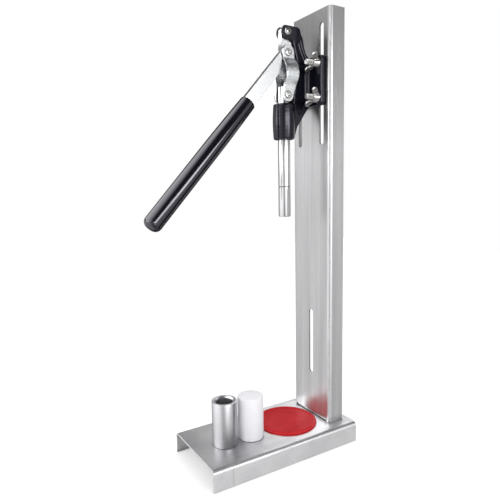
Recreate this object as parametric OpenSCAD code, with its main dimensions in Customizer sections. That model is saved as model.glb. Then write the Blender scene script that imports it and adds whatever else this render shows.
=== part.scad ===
// Bench lever press for pushing in closures, in millimetres.
// A folded base carries a slotted channel column. A cast head slides on the column and four
// wing nuts clamp it. A bent lever and two bowed links form a toggle that drives the plunger.
// x runs across, y from the operator to the column and z up from the bench.

/* [Base] */
// Width of the base over its flanges
base_w = 120; // [104:1:180]
// Height of the base
base_h = 30; // [28:1:50]
// Sheet thickness of the base
base_t = 2.5; // [1.5:0.5:4]
// Outer radius of the base's two bends
base_bend = 5.5; // [4.5:0.5:9]
// Length of the base in front of the plunger axis
base_front = 154.5; // [135:0.5:260]
// Length of the base behind the column
base_rear_margin = 12; // [4:1:60]

/* [Column] */
// Width of the column
column_w = 85; // [80:1:100]
// Depth of the column's channel
column_d = 26; // [24:1:50]
// Height of the column above the base
column_h = 595; // [540:1:900]
// Sheet thickness of the column
column_t = 2.5; // [1.5:0.5:3]
// Outer radius of the column's bends
column_bend = 5.5; // [4.5:0.5:8]
// Distance from the plunger axis to the column's front face
throat = 47.5; // [46.5:0.5:70]
// Length of the foot tab that is bent in under the column
foot_len = 23; // [20:0.5:24]
// Outer radius of the foot tab's bend
foot_bend = 5; // [4:0.5:6]
// Relief gap beside the foot tab
foot_relief = 2; // [1:0.5:4]

/* [Slots] */
// Width of all three slots
slot_w = 9; // [8.4:0.1:9.6]
// Length of the two upper slots
upper_slot_len = 166; // [130:1:220]
// Top of the upper slots below the column's top
slot_top_margin = 18; // [10:1:40]
// Length of the lower slot
lower_slot_len = 100; // [40:1:160]
// Bottom of the lower slot above the base
lower_slot_rise = 67; // [40:1:120]

/* [Head casting] */
// Middle of the clamp bolts below the top of the upper slots
head_drop = 78.5; // [35:0.5:90]
// Width of the mounting plate
plate_w = 68; // [66:1:78]
// Height of the mounting plate
plate_h = 67; // [62:1:80]
// Thickness of the mounting plate
plate_t = 8; // [5:0.5:10]
// Corner radius of the mounting plate
plate_corner = 4; // [2:0.5:6]
// Spacing of the clamp bolts across
bolt_dx = 49.2; // [49:0.1:52]
// Spacing of the clamp bolts up and down
bolt_dz = 46; // [36:0.5:50]
// Thickness of the arm's rims
arm_t = 14; // [10:0.5:14]
// Depth of the pocket in each side of the arm
arm_pocket = 2.5; // [1:0.5:3.5]
// Width of the rim around the pockets
arm_rim = 4; // [3:0.5:5]
// Rise of the top pivot above the middle of the clamp bolts
pivot_rise = 64.4; // [60:0.1:70]
// Top pivot behind the plunger axis
pivot_y = 2.6; // [1:0.1:3]
// Width over the fork's two ears
fork_w = 15; // [14.8:0.1:16]
// Radius of the fork's ears
ear_r = 9.6; // [9:0.1:9.8]
// Flat top of the ears above the top pivot
ear_top = 8.5; // [8.4:0.1:9]
// Length of the guide sleeve
sleeve_len = 48.6; // [40:0.1:60]
// Radius of the guide sleeve at its ends
sleeve_end_r = 14.7; // [13:0.1:16]
// How much wider the sleeve's radius is at its middle
sleeve_bulge = 1; // [0.5:0.1:2]

/* [Lever] */
// Width of the lever channel
lever_w = 8; // [7:0.1:8.2]
// Depth of the channel
lever_d = 16.4; // [14:0.1:16.6]
// Sheet thickness of the channel
lever_t = 2; // [1.5:0.1:2.5]
// Depth from the long arm's middle line to its web
arm_web = 9.2; // [8.2:0.1:9.4]
// Top pivot down to the middle pivot
crank = 26.9; // [26.5:0.1:30]
// Middle pivot behind the plunger axis
mid_y = 4.2; // [2:0.1:4.5]
// Slope of the long arm below level
arm_angle = 48; // [44:1:55]
// Distance of the long arm's middle line from the top pivot
arm_offset = 20.1; // [19:0.1:22]
// Start of the grip along the long arm
grip_start = 113.5; // [90:0.1:160]

/* [Grip] */
// Length of the grip
grip_len = 217; // [140:1:240]
// Diameter of the grip
grip_d = 24.5; // [24:0.1:30]
// Diameter of the grip at its open end
grip_end_d = 22; // [21.8:0.1:23.5]
// Length over which the grip widens
grip_taper = 85; // [50:1:110]
// Radius round the grip's closed end
grip_round = 9; // [5:0.5:11]
// Length of the lever inside the grip
tang_len = 115; // [80:1:125]

/* [Links] */
// Middle pivot down to the low pivot
link_len = 57.5; // [56:0.1:60]
// Thickness of the link plates
link_t = 2.5; // [2:0.1:3]
// Radius of the links' upper ears
link_top_r = 10; // [9:0.1:10.2]
// Radius of the links' lower ears
link_low_r = 9; // [8:0.1:10]
// Half the width of a link at its middle
link_half_w = 10.2; // [9:0.1:10.4]
// How far the outer face of a link bows out from the middle plane
link_bow_x = 15; // [14.6:0.1:15.6]
// How far a link's middle bows back
link_bow_y = 4; // [2:0.5:4.5]

/* [Plunger] */
// Diameter of the plunger rod and of the pressing head
rod_d = 17; // [15:0.5:17]
// Length of the plunger rod
rod_len = 137.3; // [125:0.1:170]
// Rod above the low pivot
rod_cap = 11.5; // [8:0.5:14]
// Length of the pressing head
head_len = 42.5; // [25:0.5:60]
// Chamfer at the joint of the rod and the head
joint_chamfer = 0.7; // [0.4:0.1:1.5]
// Diameter of the stud between them
stud_d = 10; // [8:1:10]
// Length of the stud inside the rod
stud_in = 16; // [10:1:24]
// Length of the stud outside the rod
stud_out = 12; // [8:0.5:12.5]

/* [Mat] */
// Diameter of the mat
mat_d = 90; // [84:1:94]
// Thickness of the mat
mat_t = 2.2; // [1.5:0.1:4]
// Middle radius of the raised ring on the mat
ring_r = 40; // [39.5:0.1:40.5]
// Width of the raised ring
ring_w = 2.4; // [1.5:0.1:3]
// Height of the raised ring
ring_h = 0.9; // [0.5:0.1:1.5]

/* [Loose heads] */
// Radius of the steel head
steel_r = 17.6; // [16:0.1:18.5]
// Height of the steel head
steel_h = 62.8; // [50:0.1:80]
// Radius of the steel head's mouth
mouth_r = 11.7; // [9:0.1:13]
// Depth of the steel head's mouth
mouth_depth = 34; // [20:1:42]
// Chamfer of the mouth
mouth_chamfer = 2.2; // [1:0.1:3]
// Place of the steel head across
steel_x = 6.4; // [-10:0.1:10]
// Place of the steel head in front of the plunger axis
steel_front = 109; // [109:0.1:113]
// Radius of the white head
white_r = 18.3; // [16:0.1:19]
// Height of the white head
white_h = 61.3; // [50:0.1:80]
// Place of the white head across
white_x = 9.2; // [-10:0.1:12]
// Place of the white head in front of the plunger axis
white_front = 68.8; // [68.4:0.1:70]

/* [Fasteners] */
// Diameter of the clamp bolts
clamp_d = 8; // [7:0.5:8]
// Clamp bolt beyond the plate
clamp_out = 19.5; // [17:0.5:22]
// Hub length of a wing nut
hub_len = 8.5; // [7:0.5:10]
// Span of a wing nut over its wings
wing_span = 31; // [26:0.5:32]
// Thickness of a wing
wing_t = 3; // [2:0.1:4]
// Turn of the wing nuts as they stand
wing_turn = 45; // [0:5:90]
// Diameter of the pivot bolt and the rivets
pin_d = 8; // [6:0.5:8]
// Diameter of the foot bolts
foot_bolt_d = 8; // [6:0.5:8]
// Spacing of the foot bolts
foot_bolt_dx = 44; // [30:1:46]
// Radial clearance where a piece turns or slides on another
run_gap = 0.08; // [0.04:0.01:0.1]
// Radial clearance of a bolt in its hole
bolt_gap = 0.4; // [0.2:0.1:0.5]
// Radial clearance between mating threads
thread_gap = 0.1; // [0.05:0.01:0.15]
// Side clearance between plates that turn against each other
side_gap = 0.3; // [0.2:0.05:0.4]

/* [Hidden] */
$fn = 64;
over = 1;

// Places along y
plate_y = throat - plate_t;
column_rear = throat + column_d;
base_rear = column_rear + base_rear_margin;
base_len = base_front + base_rear;
sheet_rear = throat + column_t;

// Heights
column_top = base_h + column_h;
upper_slot_top = column_top - slot_top_margin;
upper_slot_bottom = upper_slot_top - upper_slot_len;
lower_slot_bottom = base_h + lower_slot_rise;
head_z = upper_slot_top - head_drop;
plate_top = head_z + plate_h / 2;
plate_bottom = head_z - plate_h / 2;
pivot_z = head_z + pivot_rise;
mid_z = pivot_z - crank;
low_z = mid_z - link_len;
sleeve_top = low_z - link_low_r - 2.5;
sleeve_bottom = sleeve_top - sleeve_len;
rod_r = rod_d / 2;
rod_top = low_z + rod_cap;
rod_bottom = rod_top - rod_len;
head_bottom = rod_bottom - head_len;

// Half widths out from the middle plane
slot_half = lever_w / 2 + side_gap;
fork_half = fork_w / 2;
link_in = lever_w / 2 + 0.2;
link_ear_out = link_in + link_t;
link_low_in = rod_r + 0.2;
link_low_out = link_low_in + link_t;

// The long arm starts at the foot of the perpendicular from the top pivot
arm_dir = [-cos(arm_angle), -sin(arm_angle)];
arm_foot = [pivot_y + arm_offset * sin(arm_angle), pivot_z - arm_offset * cos(arm_angle)];
grip_r = grip_d / 2;
arm_len = grip_start + grip_len;

// The row's origin lies under the middle of the whole machine
reach_front = arm_foot[0] - (arm_len - grip_round) * cos(arm_angle)
    - (grip_r - grip_round) * sin(arm_angle) - grip_round;
plunger_y = -(reach_front + base_rear) / 2;

// Fastener proportions
hex_af = 13;
hex_r = hex_af / 2 / cos(30);
bolt_head_h = 5.3;
nut_h = 6.5;
low_nut_h = 3.2;
washer_r = 8;
washer_t = 1.6;
thread_end = 2.5;
rivet_head_r = 5;
rivet_head_h = 1.6;
rivet_dimple_r = 1.9;

steel_grey = "#a9abad";
bright = "#d5d8da";
black = "#17171b";

module on_axis() {
    translate([0, plunger_y, 0]) children();
}

// Runs a child that stands along z out along +x instead
module along_x() {
    rotate([0, 90, 0]) children();
}

// Puts a side view drawn as (y, z) into place as a plate of the given thickness
module side_plate(thickness) {
    rotate([90, 0, 90]) linear_extrude(thickness, center = true) children();
}

// Channel section: open along y = 0, closed and rounded along y = h
module round_top(w, h, r) {
    translate([-w / 2, 0]) square([w, h - r]);
    translate([-w / 2 + r, 0]) square([w - 2 * r, h]);
    for (side = [-1, 1])
        translate([side * (w / 2 - r), h - r]) circle(r);
}

module channel_section(w, h, t, r) {
    difference() {
        round_top(w, h, r);
        translate([0, -over]) round_top(w - 2 * t, h - t + over, r - t);
    }
}

module slot_shape(w, len) {
    translate([-w / 2, w / 2]) square([w, len - w]);
    for (y = [w / 2, len - w / 2])
        translate([0, y]) circle(w / 2);
}

// Cuts a slot through the column's front wall, its lower end at z = bottom
module column_slot(x, bottom, len) {
    translate([x, sheet_rear + over, bottom])
        rotate([90, 0, 0]) linear_extrude(column_t + 2 * over) slot_shape(slot_w, len);
}

module at_clamp_bolts() {
    for (x = [-1, 1], z = [-1, 1])
        translate([x * bolt_dx / 2, 0, head_z + z * bolt_dz / 2]) children();
}

foot_bolt_y = throat + foot_bend + (foot_len - foot_bend) / 2;
module at_foot_bolts() {
    for (x = [-1, 1])
        translate([x * foot_bolt_dx / 2, foot_bolt_y, base_h]) children();
}

module base() {
    color(steel_grey) on_axis() difference() {
        translate([0, base_rear, 0]) rotate([90, 0, 0])
            linear_extrude(base_len) channel_section(base_w, base_h, base_t, base_bend);
        at_foot_bolts() translate([0, 0, -base_t - over])
            cylinder(r = foot_bolt_d / 2 + bolt_gap, h = base_t + 2 * over);
    }
}

foot_tab_w = column_w - 2 * (column_bend + foot_relief);
module foot_side_view() {
    translate([foot_bend, 0]) square([foot_len - foot_bend, column_t]);
    translate([0, foot_bend]) square([column_t, over]);
    intersection() {
        translate([foot_bend, foot_bend]) difference() {
            circle(foot_bend);
            circle(foot_bend - column_t);
        }
        square(foot_bend);
    }
}

module column() {
    color(steel_grey) on_axis() difference() {
        union() {
            difference() {
                translate([0, column_rear, base_h]) mirror([0, 1, 0])
                    linear_extrude(column_h)
                        channel_section(column_w, column_d, column_t, column_bend);
                translate([-foot_tab_w / 2 - foot_relief, throat - over, base_h - over])
                    cube([foot_tab_w + 2 * foot_relief, column_t + 2 * over, foot_bend + over]);
            }
            translate([0, throat, base_h]) side_plate(foot_tab_w) foot_side_view();
        }
        for (side = [-1, 1])
            column_slot(side * bolt_dx / 2, upper_slot_bottom, upper_slot_len);
        column_slot(0, lower_slot_bottom, lower_slot_len);
        at_foot_bolts() translate([0, 0, -over])
            cylinder(r = foot_bolt_d / 2 + bolt_gap, h = column_t + 2 * over);
    }
}

foot_washer_z = -base_t - washer_t;
foot_nut_z = foot_washer_z - nut_h;
module foot_bolts() {
    color(bright) on_axis() at_foot_bolts() {
        translate([0, 0, column_t]) cylinder(r = hex_r, h = bolt_head_h, $fn = 6);
        translate([0, 0, foot_nut_z - thread_end])
            cylinder(d = foot_bolt_d, h = column_t - foot_nut_z + thread_end);
    }
}

module foot_washers() {
    color(bright) on_axis() at_foot_bolts() translate([0, 0, foot_washer_z]) difference() {
        cylinder(r = washer_r, h = washer_t);
        translate([0, 0, -over])
            cylinder(r = foot_bolt_d / 2 + bolt_gap, h = washer_t + 2 * over);
    }
}

module foot_nuts() {
    color(bright) on_axis() at_foot_bolts() translate([0, 0, foot_nut_z]) difference() {
        cylinder(r = hex_r, h = nut_h, $fn = 6);
        translate([0, 0, -over])
            cylinder(r = foot_bolt_d / 2 + thread_gap, h = nut_h + 2 * over);
    }
}

mat_edge = 0.6;
module bottle_mat() {
    color("#c8202a") on_axis() translate([0, 0, base_h]) rotate_extrude() polygon([
        [0, 0],
        [mat_d / 2, 0],
        [mat_d / 2, mat_t - mat_edge],
        [mat_d / 2 - mat_edge, mat_t],
        [ring_r + ring_w / 2, mat_t],
        [ring_r + ring_w / 4, mat_t + ring_h],
        [ring_r - ring_w / 4, mat_t + ring_h],
        [ring_r - ring_w / 2, mat_t],
        [0, mat_t]
    ]);
}

// Side view of the arm, from the fork down to the plate and the sleeve, as (y, z)
ear_back = 25;
ear_corner = 6;
arm_front_y = rod_r + 3.5;
fork_top = pivot_z + ear_top;
module arm_side_view() {
    intersection() {
        translate([pivot_y, pivot_z]) circle(ear_r);
        translate([pivot_y - ear_r, pivot_z - ear_r]) square([2 * ear_r, ear_r + ear_top]);
    }
    translate([ear_back - ear_corner, fork_top - ear_corner]) circle(ear_corner);
    polygon([
        [pivot_y, fork_top],
        [ear_back - ear_corner, fork_top],
        [ear_back, fork_top - ear_corner],
        [plate_y - 11, pivot_z - 5],
        [plate_y - 8, plate_top + 13],
        [plate_y - 5, plate_top + 5],
        [plate_y, plate_top],
        [plate_y + over, plate_top],
        [plate_y + over, plate_bottom],
        [plate_y, plate_bottom],
        [sleeve_end_r + 17, sleeve_bottom + 36],
        [sleeve_end_r + 4.6, sleeve_bottom + 19],
        [sleeve_end_r + 1, sleeve_bottom + 9],
        [sleeve_end_r - 1, sleeve_bottom + 2],
        [0, sleeve_bottom + 2],
        [0, sleeve_top - 2],
        [arm_front_y, sleeve_top - 2],
        [arm_front_y, sleeve_top],
        [arm_front_y + 1.5, sleeve_top + 17],
        [arm_front_y + 5, plate_top - 28],
        [arm_front_y + 9, plate_top - 13],
        [arm_front_y + 4.5, pivot_z - 29],
        [arm_front_y - 0.5, pivot_z - 11.7],
        [pivot_y, pivot_z - ear_r]
    ]);
}

module pocket_side_view() {
    polygon([
        [arm_front_y + arm_rim + 1, pivot_z - 15],
        [plate_y - 12 - arm_rim, pivot_z - 9],
        [plate_y - 8.5 - arm_rim, plate_top + 11],
        [plate_y - arm_rim, plate_top - 6],
        [plate_y - arm_rim, plate_bottom + 6],
        [sleeve_end_r + 8, sleeve_bottom + 34],
        [sleeve_end_r + 3, sleeve_top - 6],
        [arm_front_y + arm_rim, sleeve_top + 2],
        [arm_front_y + arm_rim + 1.5, sleeve_top + 16],
        [arm_front_y + arm_rim + 5, plate_top - 29],
        [arm_front_y + arm_rim + 9, plate_top - 14]
    ]);
}

fork_block_y = 14;
fork_taper = 8;
module fork_top_view() {
    polygon([
        [-fork_half, -ear_r - over],
        [fork_half, -ear_r - over],
        [fork_half, fork_block_y],
        [arm_t / 2, fork_block_y + fork_taper],
        [-arm_t / 2, fork_block_y + fork_taper],
        [-fork_half, fork_block_y]
    ]);
}

module fork_front_view() {
    polygon([
        [-fork_half, fork_top + over],
        [fork_half, fork_top + over],
        [fork_half, pivot_z - ear_r],
        [arm_t / 2, pivot_z - ear_r - 12],
        [-arm_t / 2, pivot_z - ear_r - 12],
        [-fork_half, pivot_z - ear_r]
    ]);
}

module fork() {
    intersection() {
        side_plate(fork_w) arm_side_view();
        translate([0, 0, pivot_z - ear_r - 12]) linear_extrude(2 * ear_r + 13) fork_top_view();
        translate([0, plate_y, 0]) rotate([90, 0, 0])
            linear_extrude(plate_y + ear_r + over) fork_front_view();
    }
}

module mounting_plate() {
    translate([0, throat, head_z]) rotate([90, 0, 0]) linear_extrude(plate_t) {
        square([plate_w - 2 * plate_corner, plate_h], center = true);
        square([plate_w, plate_h - 2 * plate_corner], center = true);
        for (x = [-1, 1], z = [-1, 1])
            translate([x * (plate_w / 2 - plate_corner), z * (plate_h / 2 - plate_corner)])
                circle(plate_corner);
    }
}

sleeve_steps = 8;
sleeve_edge = 1.2;
function sleeve_r(k) = sleeve_end_r + sleeve_bulge * sin(180 * k / sleeve_steps);
function sleeve_z(k) = sleeve_edge + (sleeve_len - 2 * sleeve_edge) * k / sleeve_steps;
module guide_sleeve() {
    translate([0, 0, sleeve_bottom]) rotate_extrude() polygon(concat(
        [[0, 0], [sleeve_end_r - sleeve_edge, 0]],
        [for (k = [0:sleeve_steps]) [sleeve_r(k), sleeve_z(k)]],
        [[sleeve_end_r - sleeve_edge, sleeve_len], [0, sleeve_len]]
    ));
}

slot_back = pivot_y + lever_d / 2 + 1;
// The arm's own thickness leaves the ears in front to the fork
module arm_side_view_below_fork() {
    difference() {
        arm_side_view();
        translate([-ear_r - over, pivot_z - ear_r - over])
            square([ear_r + over + slot_back, 2 * ear_r + 2 * over]);
    }
}

module head_casting() {
    color(black) on_axis() difference() {
        union() {
            mounting_plate();
            side_plate(arm_t) arm_side_view_below_fork();
            fork();
            guide_sleeve();
        }
        for (side = [-1, 1])
            translate([side * arm_t / 2, 0, 0]) side_plate(2 * arm_pocket) pocket_side_view();
        translate([-slot_half, -ear_r - over, mid_z - over])
            cube([2 * slot_half, slot_back + ear_r + over, crank + ear_r + 2 * over]);
        translate([-fork_half - over, pivot_y, pivot_z]) along_x()
            cylinder(r = pin_d / 2 + run_gap, h = fork_w + 2 * over);
        translate([0, 0, sleeve_bottom - over])
            cylinder(r = rod_r + run_gap, h = sleeve_len + 2 * over);
        at_clamp_bolts() translate([0, throat + over, 0]) rotate([90, 0, 0])
            cylinder(r = clamp_d / 2 + bolt_gap, h = plate_t + 2 * over);
    }
}

module clamp_bolts() {
    color(bright) on_axis() at_clamp_bolts() {
        translate([0, sheet_rear + washer_t, 0]) rotate([-90, 0, 0])
            cylinder(r = hex_r, h = bolt_head_h, $fn = 6);
        translate([0, sheet_rear + washer_t, 0]) rotate([90, 0, 0])
            cylinder(d = clamp_d, h = washer_t + column_t + plate_t + clamp_out);
    }
}

module clamp_washers() {
    color(bright) on_axis() at_clamp_bolts() translate([0, sheet_rear, 0]) rotate([-90, 0, 0])
        difference() {
            cylinder(r = washer_r, h = washer_t);
            translate([0, 0, -over])
                cylinder(r = clamp_d / 2 + bolt_gap, h = washer_t + 2 * over);
        }
}

pivot_head_r = 5.4;
pivot_head_h = 3.2;
pivot_socket_r = 2.3;
pivot_end = 0.5;
module top_pivot_bolt() {
    color(bright) on_axis() translate([0, pivot_y, pivot_z]) along_x() {
        translate([0, 0, -fork_half - low_nut_h - pivot_end])
            cylinder(d = pin_d, h = fork_w + low_nut_h + pivot_end);
        translate([0, 0, fork_half]) difference() {
            rotate_extrude() polygon([
                [0, 0],
                [pivot_head_r, 0],
                [pivot_head_r, 0.35 * pivot_head_h],
                [0.85 * pivot_head_r, 0.75 * pivot_head_h],
                [0.55 * pivot_head_r, pivot_head_h],
                [0, pivot_head_h]
            ]);
            translate([0, 0, pivot_head_h - 1.6])
                cylinder(r = pivot_socket_r, h = 1.6 + over, $fn = 6);
        }
    }
}

module top_pivot_nut() {
    color(bright) on_axis() translate([-fork_half - low_nut_h, pivot_y, pivot_z]) along_x()
        difference() {
            cylinder(r = hex_r, h = low_nut_h, $fn = 6);
            translate([0, 0, -over])
                cylinder(r = pin_d / 2 + thread_gap, h = low_nut_h + 2 * over);
        }
}

// One wing nut about its own axis, its seat on z = 0 and its wings towards +z
hub_base_r = 7.5;
hub_tip_r = 5.6;
wing_tip_r = 4;
wing_tip_z = 10.5;
module wing_nut() {
    difference() {
        union() {
            cylinder(r1 = hub_base_r, r2 = hub_tip_r, h = hub_len);
            for (side = [0, 180])
                rotate([0, 0, side]) rotate([90, 0, 0]) linear_extrude(wing_t, center = true) {
                    polygon([
                        [0, 1],
                        [hub_base_r - 0.6, 1.5],
                        [wing_span / 2 - 1.6, wing_tip_z - 3],
                        [wing_span / 2 - wing_tip_r - 2.6, wing_tip_z + 3.4],
                        [hub_tip_r - 0.6, hub_len - 0.5],
                        [0, hub_len - 0.5]
                    ]);
                    translate([wing_span / 2 - wing_tip_r, wing_tip_z]) circle(wing_tip_r);
                }
        }
        translate([0, 0, -over]) cylinder(r = clamp_d / 2 + run_gap, h = hub_len + 2 * over);
    }
}

module placed_wing_nut(x_side, z_side) {
    color(bright) on_axis()
        translate([x_side * bolt_dx / 2, plate_y, head_z + z_side * bolt_dz / 2])
            rotate([90, 0, 0]) rotate([0, 0, wing_turn]) wing_nut();
}

// Carries a side view drawn along the long arm into the machine's (y, z): x runs down the arm
// from its foot, and y = -arm_web is the face of the web
module on_arm_side() {
    translate(arm_foot) rotate(180 + arm_angle) children();
}

arm_start = crank * sin(arm_angle);
arm_end = grip_start + tang_len;
module lever_side_view() {
    for (z = [pivot_z, mid_z])
        translate([pivot_y, z]) circle(d = lever_d);
    translate([pivot_y - lever_d / 2, mid_z]) square([lever_d, crank]);
    on_arm_side() translate([arm_start, -arm_web])
        square([arm_end - arm_start, arm_web + lever_d / 2]);
}

// The hollow behind the web: its corner lies where the two inner faces of the web meet
web_in = lever_d / 2 - lever_t;
crease_z = pivot_z
    + (arm_web - lever_t - arm_offset - web_in * sin(arm_angle)) / cos(arm_angle);
module lever_hollow_view() {
    translate([pivot_y - web_in, crease_z])
        square([web_in + lever_d / 2 + over, crank + lever_d]);
    on_arm_side() translate([0, lever_t - arm_web])
        square([arm_end + over, arm_web - lever_t + lever_d / 2 + over]);
}

module lever_channel() {
    color(bright) on_axis() difference() {
        side_plate(lever_w) lever_side_view();
        side_plate(lever_w - 2 * lever_t) lever_hollow_view();
        for (pivot = [[pivot_y, pivot_z], [mid_y, mid_z]])
            translate([-lever_w / 2 - over, pivot[0], pivot[1]]) along_x()
                cylinder(r = pin_d / 2 + run_gap, h = lever_w + 2 * over);
    }
}

// Carries a shape that stands along z onto the long arm, z = 0 at the arm's foot
module on_arm() {
    translate([0, arm_foot[0], arm_foot[1]]) rotate([90 + arm_angle, 0, 0]) children();
}

grip_steps = 6;
tang_gap = 0.05;
function grip_profile_r(k) =
    grip_end_d / 2 + (grip_r - grip_end_d / 2) * sin(90 * k / grip_steps);
module grip() {
    color(black) on_axis() on_arm() translate([0, 0, grip_start]) difference() {
        rotate_extrude() polygon(concat(
            [[0, 0], [grip_end_d / 2 - 1, 0]],
            [for (k = [0:grip_steps]) [grip_profile_r(k), 1 + (grip_taper - 1) * k / grip_steps]],
            [for (a = [0:10:90])
                [grip_r - grip_round + grip_round * cos(a),
                 grip_len - grip_round + grip_round * sin(a)]],
            [[0, grip_len]]
        ));
        translate([-lever_w / 2 - tang_gap, -lever_d / 2 - tang_gap, -over])
            cube([lever_w + 2 * tang_gap, arm_web + lever_d / 2 + 2 * tang_gap,
                tang_len + tang_gap + over]);
    }
}

// Side view of a link: ears at the two pivots, waist and bow between them
link_steps = 8;
function bow(k) = mid_y * (1 - k / link_steps) + link_bow_y * sin(180 * k / link_steps);
function half_width(k) =
    9 + (link_half_w - 9) * sin(180 * k / link_steps) - (k == link_steps ? 9 - link_low_r : 0);
module link_side_view() {
    translate([mid_y, mid_z]) circle(link_top_r);
    translate([0, low_z]) circle(link_low_r);
    polygon(concat(
        [for (k = [0:link_steps])
            [bow(k) - half_width(k), mid_z - link_len * k / link_steps]],
        [for (k = [link_steps:-1:0])
            [bow(k) + half_width(k), mid_z - link_len * k / link_steps]]
    ));
}

// Front view of a link: flat ears, a crease under the upper one, and the bow
crease = 8;
bow_top = 20;
bow_low = 38;
bow_end = 46;
module link_front_view() {
    polygon([
        [link_in, mid_z + link_top_r + over],
        [link_ear_out, mid_z + link_top_r + over],
        [link_ear_out, mid_z - crease],
        [0.25 * link_ear_out + 0.75 * link_bow_x, mid_z - bow_top + 4.5],
        [link_bow_x, mid_z - bow_top - 2],
        [link_bow_x, mid_z - bow_low + 5],
        [0.3 * link_low_out + 0.7 * link_bow_x, mid_z - bow_low - 1],
        [link_low_out, mid_z - bow_end],
        [link_low_out, low_z - link_low_r - over],
        [link_low_in, low_z - link_low_r - over],
        [link_low_in, mid_z - bow_end - 0.5],
        [0.3 * link_low_out + 0.7 * link_bow_x - link_t, mid_z - bow_low - 1.6],
        [link_bow_x - link_t, mid_z - bow_low + 4.4],
        [link_bow_x - link_t, mid_z - bow_top - 2.6],
        [0.25 * link_ear_out + 0.75 * link_bow_x - link_t, mid_z - bow_top + 3.5],
        [link_in, mid_z - crease - 1]
    ]);
}

module link_plate() {
    difference() {
        intersection() {
            side_plate(2 * link_bow_x + 2) link_side_view();
            translate([0, link_top_r + link_bow_y + mid_y + 2, 0]) rotate([90, 0, 0])
                linear_extrude(2 * link_top_r + link_bow_y + mid_y + 4) link_front_view();
        }
        for (pivot = [[mid_y, mid_z], [0, low_z]])
            translate([0, pivot[0], pivot[1]]) along_x()
                cylinder(r = pin_d / 2 + run_gap, h = link_bow_x + over);
    }
}

module link_right() {
    color(bright) on_axis() link_plate();
}

module link_left() {
    color(bright) on_axis() mirror([1, 0, 0]) link_plate();
}

// Rivet head with its dimple, seat on z = 0
module rivet_head() {
    difference() {
        cylinder(r1 = rivet_head_r, r2 = rivet_head_r - 0.7, h = rivet_head_h);
        translate([0, 0, rivet_head_h - 0.9]) cylinder(r = rivet_dimple_r, h = 0.9 + over);
    }
}

module middle_rivet() {
    color(bright) on_axis() translate([0, mid_y, mid_z]) {
        along_x() translate([0, 0, -link_ear_out]) cylinder(d = pin_d, h = 2 * link_ear_out);
        for (side = [0, 1])
            mirror([side, 0, 0]) translate([link_ear_out, 0, 0]) along_x() rivet_head();
    }
}

module low_rivets() {
    color(bright) on_axis() translate([0, 0, low_z]) for (side = [0, 1])
        mirror([side, 0, 0]) {
            translate([link_low_in, 0, 0]) along_x() cylinder(d = pin_d, h = link_t);
            translate([link_low_out, 0, 0]) along_x() rivet_head();
        }
}

rod_edge = 1;
module plunger_rod() {
    color(bright) on_axis() difference() {
        translate([0, 0, rod_bottom]) rotate_extrude() polygon([
            [0, 0],
            [rod_r - joint_chamfer, 0],
            [rod_r, joint_chamfer],
            [rod_r, rod_len - rod_edge],
            [rod_r - rod_edge, rod_len],
            [0, rod_len]
        ]);
        translate([-rod_r - over, 0, low_z]) along_x()
            cylinder(r = pin_d / 2 + thread_gap / 2, h = rod_d + 2 * over);
        translate([0, 0, rod_bottom - over])
            cylinder(r = stud_d / 2 + thread_gap / 2, h = stud_in + over);
    }
}

pin_short = 0.6;
module cross_pin() {
    color(bright) on_axis() translate([-rod_r + pin_short, 0, low_z]) along_x()
        cylinder(d = pin_d, h = rod_d - 2 * pin_short);
}

module head_stud() {
    color(bright) on_axis() translate([0, 0, rod_bottom - stud_out])
        cylinder(d = stud_d, h = stud_in + stud_out);
}

head_edge = 1;
socket_spare = 1.5;
module pressing_head() {
    color(bright) on_axis() translate([0, 0, head_bottom]) difference() {
        rotate_extrude() polygon([
            [0, 0],
            [rod_r - head_edge, 0],
            [rod_r, head_edge],
            [rod_r, head_len - joint_chamfer],
            [rod_r - joint_chamfer, head_len],
            [0, head_len]
        ]);
        translate([0, 0, head_len - stud_out - socket_spare])
            cylinder(r = stud_d / 2 + thread_gap, h = stud_out + socket_spare + over);
    }
}

// Threaded socket in the under side of a loose head that stands on z = 0
module head_socket() {
    translate([0, 0, -over])
        cylinder(r = stud_d / 2 + thread_gap, h = stud_out + socket_spare + over);
}

loose_edge = 0.8;
module steel_head() {
    color(bright) on_axis() translate([steel_x, -steel_front, base_h]) difference() {
        rotate_extrude() polygon([
            [0, 0],
            [steel_r - loose_edge, 0],
            [steel_r, loose_edge],
            [steel_r, steel_h - loose_edge],
            [steel_r - loose_edge, steel_h],
            [0, steel_h]
        ]);
        translate([0, 0, steel_h - mouth_depth]) cylinder(r = mouth_r, h = mouth_depth + over);
        translate([0, 0, steel_h - mouth_chamfer])
            cylinder(r1 = mouth_r, r2 = mouth_r + mouth_chamfer + over, h = mouth_chamfer + over);
        head_socket();
    }
}

white_edge = 1.5;
module white_head() {
    color("#f4f4f2") on_axis() translate([white_x, -white_front, base_h]) difference() {
        rotate_extrude() polygon([
            [0, 0],
            [white_r - white_edge, 0],
            [white_r, white_edge],
            [white_r, white_h - white_edge],
            [white_r - white_edge, white_h],
            [0, white_h]
        ]);
        head_socket();
    }
}

base();
column();
foot_bolts();
foot_washers();
foot_nuts();
bottle_mat();
head_casting();
clamp_bolts();
clamp_washers();
top_pivot_bolt();
top_pivot_nut();
placed_wing_nut(1, 1);  // wing_nut_upper_right
placed_wing_nut(-1, 1);  // wing_nut_upper_left
placed_wing_nut(1, -1);  // wing_nut_lower_right
placed_wing_nut(-1, -1);  // wing_nut_lower_left
lever_channel();
grip();
link_right();
link_left();
middle_rivet();
low_rivets();
plunger_rod();
cross_pin();
head_stud();
pressing_head();
steel_head();
white_head();
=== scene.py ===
import math

import bmesh
import bpy
from mathutils import Matrix, Vector


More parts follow.
